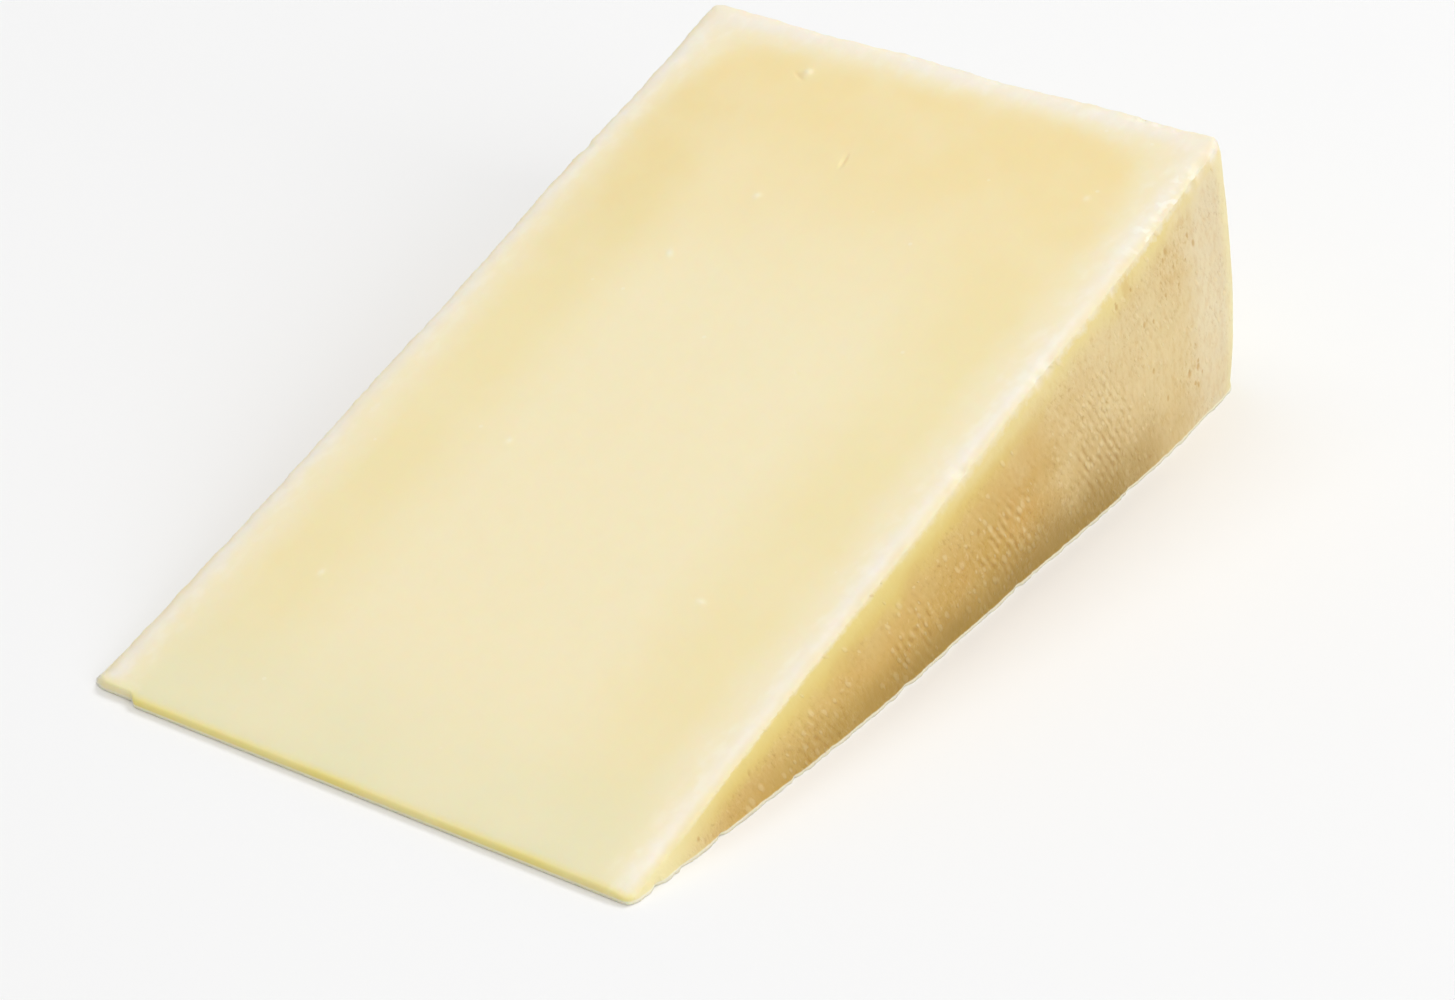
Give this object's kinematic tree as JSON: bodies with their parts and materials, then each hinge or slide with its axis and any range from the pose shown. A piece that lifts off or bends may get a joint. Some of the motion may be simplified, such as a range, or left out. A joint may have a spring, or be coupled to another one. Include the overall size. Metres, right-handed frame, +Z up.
{
  "type": "piave cheese wedge",
  "caption": "Slim wedge of hard cheese lying on a cut face: blunt tip, flat sloping top, rind on both sides and the heel. Food to slice, grate or serve.",
  "frame": {"origin": "on the flat resting face, at the middle of the wedge's outline", "axes": "+X from the blunt tip to the heel, +Y across the wheel's thickness to the left side as seen from the tip's end looking to the heel, +Z up"},
  "size_m": [0.1452, 0.0882, 0.041],
  "materials": {
    "cheese": "satin, slightly translucent pale yellow paste with a straw to light brown rind"
  },
  "bodies": {
    "root": {"cheese_wedge": "cheese"}
  },
  "joints": []
}
